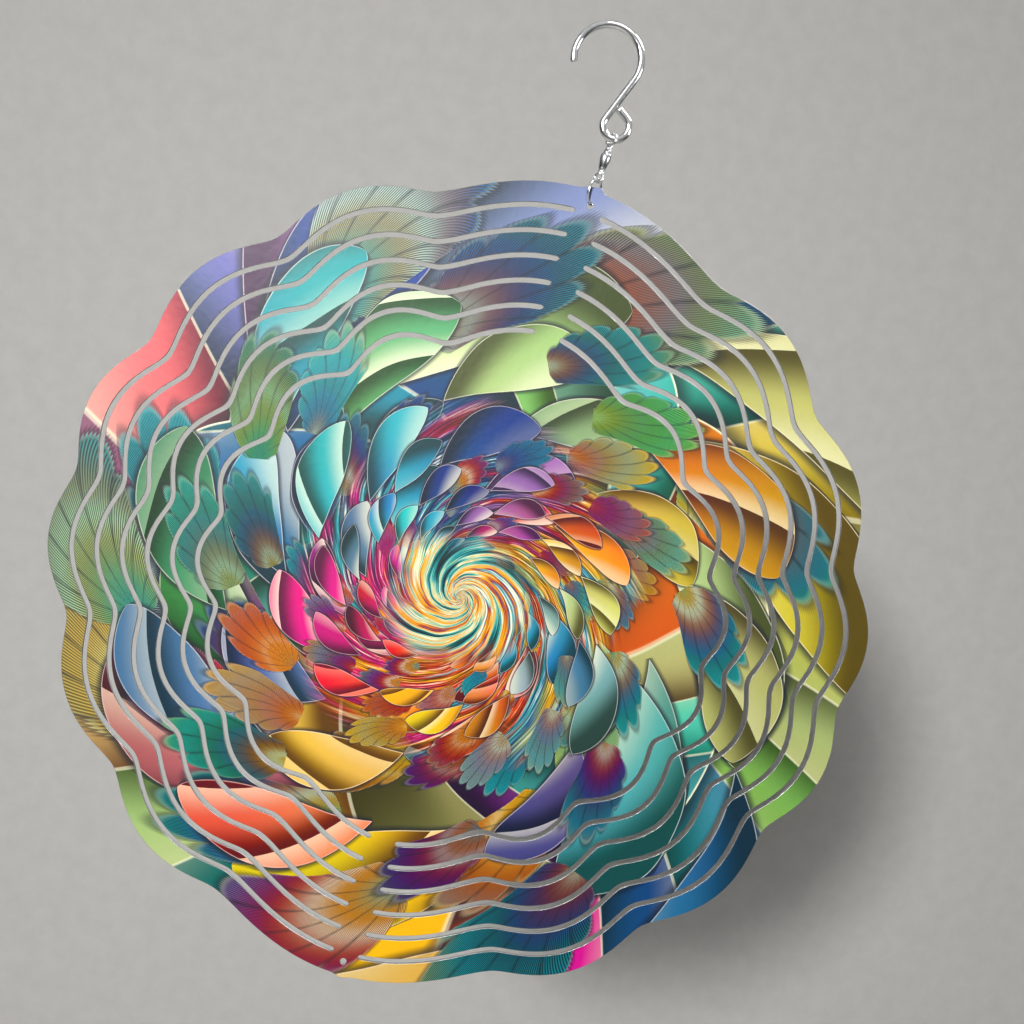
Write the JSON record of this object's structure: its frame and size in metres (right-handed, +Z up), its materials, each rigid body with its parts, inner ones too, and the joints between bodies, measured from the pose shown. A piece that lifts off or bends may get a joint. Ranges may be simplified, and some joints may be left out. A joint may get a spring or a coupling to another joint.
{
  "type": "hanging wind spinner",
  "caption": "Flat scalloped metal disc slit into concentric wavy rings that twist on necks along one axis, hung from an open wire hook by a barrel swivel and a jump ring.",
  "frame": {"origin": "seat inside the hook's crown, where the sculpture hangs", "axes": "+Z up along the necks' axis, +Y out of the disc's back face, +X to the right seen from the printed front"},
  "size_m": [0.2509, 0.0074, 0.3049],
  "materials": {
    "hook_wire": "bright plated wire",
    "swivel_wire": "bright plated wire",
    "swivel_barrel": "satin nickel",
    "ring_wire": "bright plated wire",
    "printed_sheet": "gloss colour print on both faces, bare cut edges"
  },
  "bodies": {
    "hook": {"hook": "hook_wire"},
    "swivel_upper_eye": {"swivel_upper_eye": "swivel_wire"},
    "swivel_barrel": {"swivel_barrel": "swivel_barrel"},
    "swivel_lower_eye": {"swivel_lower_eye": "swivel_wire"},
    "jump_ring": {"jump_ring": "ring_wire"},
    "outer_ring": {"outer_ring": "printed_sheet"},
    "ring_2": {"ring_2": "printed_sheet", "neck_1_top": "printed_sheet", "neck_1_bottom": "printed_sheet"},
    "ring_3": {"ring_3": "printed_sheet", "neck_2_top": "printed_sheet", "neck_2_bottom": "printed_sheet"},
    "ring_4": {"ring_4": "printed_sheet", "neck_3_top": "printed_sheet", "neck_3_bottom": "printed_sheet"},
    "ring_5": {"ring_5": "printed_sheet", "neck_4_top": "printed_sheet", "neck_4_bottom": "printed_sheet"},
    "ring_6": {"ring_6": "printed_sheet", "neck_5_top": "printed_sheet", "neck_5_bottom": "printed_sheet"},
    "centre_disc": {"centre_disc": "printed_sheet", "neck_6_top": "printed_sheet", "neck_6_bottom": "printed_sheet"}
  },
  "joints": [
    {"name": "swivel_swing", "type": "hinge", "parent": "hook", "child": "swivel_upper_eye", "pos_m": [0.00855, 0, -0.02694], "axis": [0, 1, 0], "range_deg": [-45, 45]},
    {"name": "upper_spin", "type": "hinge", "parent": "swivel_upper_eye", "child": "swivel_barrel", "pos_m": [0.00855, 0, -0.03463], "axis": [0, 0, 1], "continuous": true},
    {"name": "lower_spin", "type": "hinge", "parent": "swivel_barrel", "child": "swivel_lower_eye", "pos_m": [0.00855, 0, -0.04023], "axis": [0, 0, 1], "continuous": true},
    {"name": "ring_swing", "type": "hinge", "parent": "swivel_lower_eye", "child": "jump_ring", "pos_m": [0.00855, 0, -0.04423], "axis": [0.8572, -0.515, 0], "range_deg": [-30, 30]},
    {"name": "disc_swing", "type": "hinge", "parent": "jump_ring", "child": "outer_ring", "pos_m": [0.00855, 0, -0.05153], "axis": [0, 1, 0], "range_deg": [-35, 35]},
    {"name": "twist_1", "type": "hinge", "parent": "outer_ring", "child": "ring_2", "pos_m": [0.00855, 0, -0.17453], "axis": [0, 0, 1], "range_deg": [-30, 30]},
    {"name": "twist_2", "type": "hinge", "parent": "ring_2", "child": "ring_3", "pos_m": [0.00855, 0, -0.17453], "axis": [0, 0, 1], "range_deg": [-30, 30]},
    {"name": "twist_3", "type": "hinge", "parent": "ring_3", "child": "ring_4", "pos_m": [0.00855, 0, -0.17453], "axis": [0, 0, 1], "range_deg": [-30, 30]},
    {"name": "twist_4", "type": "hinge", "parent": "ring_4", "child": "ring_5", "pos_m": [0.00855, 0, -0.17453], "axis": [0, 0, 1], "range_deg": [-30, 30]},
    {"name": "twist_5", "type": "hinge", "parent": "ring_5", "child": "ring_6", "pos_m": [0.00855, 0, -0.17453], "axis": [0, 0, 1], "range_deg": [-30, 30]},
    {"name": "twist_6", "type": "hinge", "parent": "ring_6", "child": "centre_disc", "pos_m": [0.00855, 0, -0.17453], "axis": [0, 0, 1], "range_deg": [-30, 30]}
  ]
}
